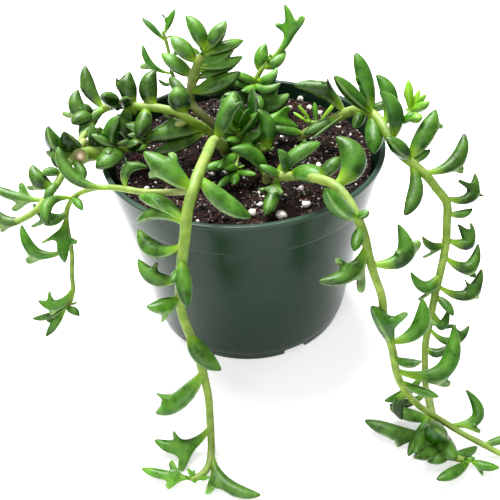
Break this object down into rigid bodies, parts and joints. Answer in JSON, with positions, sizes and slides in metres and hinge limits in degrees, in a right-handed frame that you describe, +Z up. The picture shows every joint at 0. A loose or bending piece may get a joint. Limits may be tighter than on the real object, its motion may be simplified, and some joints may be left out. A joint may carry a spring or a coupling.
{
  "type": "potted string of dolphins",
  "caption": "Trailing succulent with plump, finned, dolphin-shaped leaves in a round tapered nursery pot of soil, its stems arching over the rim and lying beside the pot.",
  "frame": {"origin": "centre of the pot's flat underside, on the surface it stands on", "axes": "+Z up along the pot's axis; -Y towards the side that the longest stems hang over, +X to the right as seen from there"},
  "size_m": [0.2168, 0.1574, 0.1213],
  "materials": {
    "pot": "thin moulded polypropylene, dark green, semi-gloss",
    "soil": "moist brown-black potting mix with fibres",
    "perlite": "rough matt white grains",
    "leaf": "fleshy, waxy, with a soft sheen",
    "stem": "fleshy, yellow-green, smooth"
  },
  "bodies": {
    "root": {"pot": "pot", "soil": "soil", "trail_front": "leaf", "trail_left": "leaf", "trail_right": "leaf", "trail_near_right": "leaf", "shoot_upright": "leaf", "shoot_thin": "leaf", "shoot_back": "leaf", "crown": "leaf"}
  },
  "joints": []
}
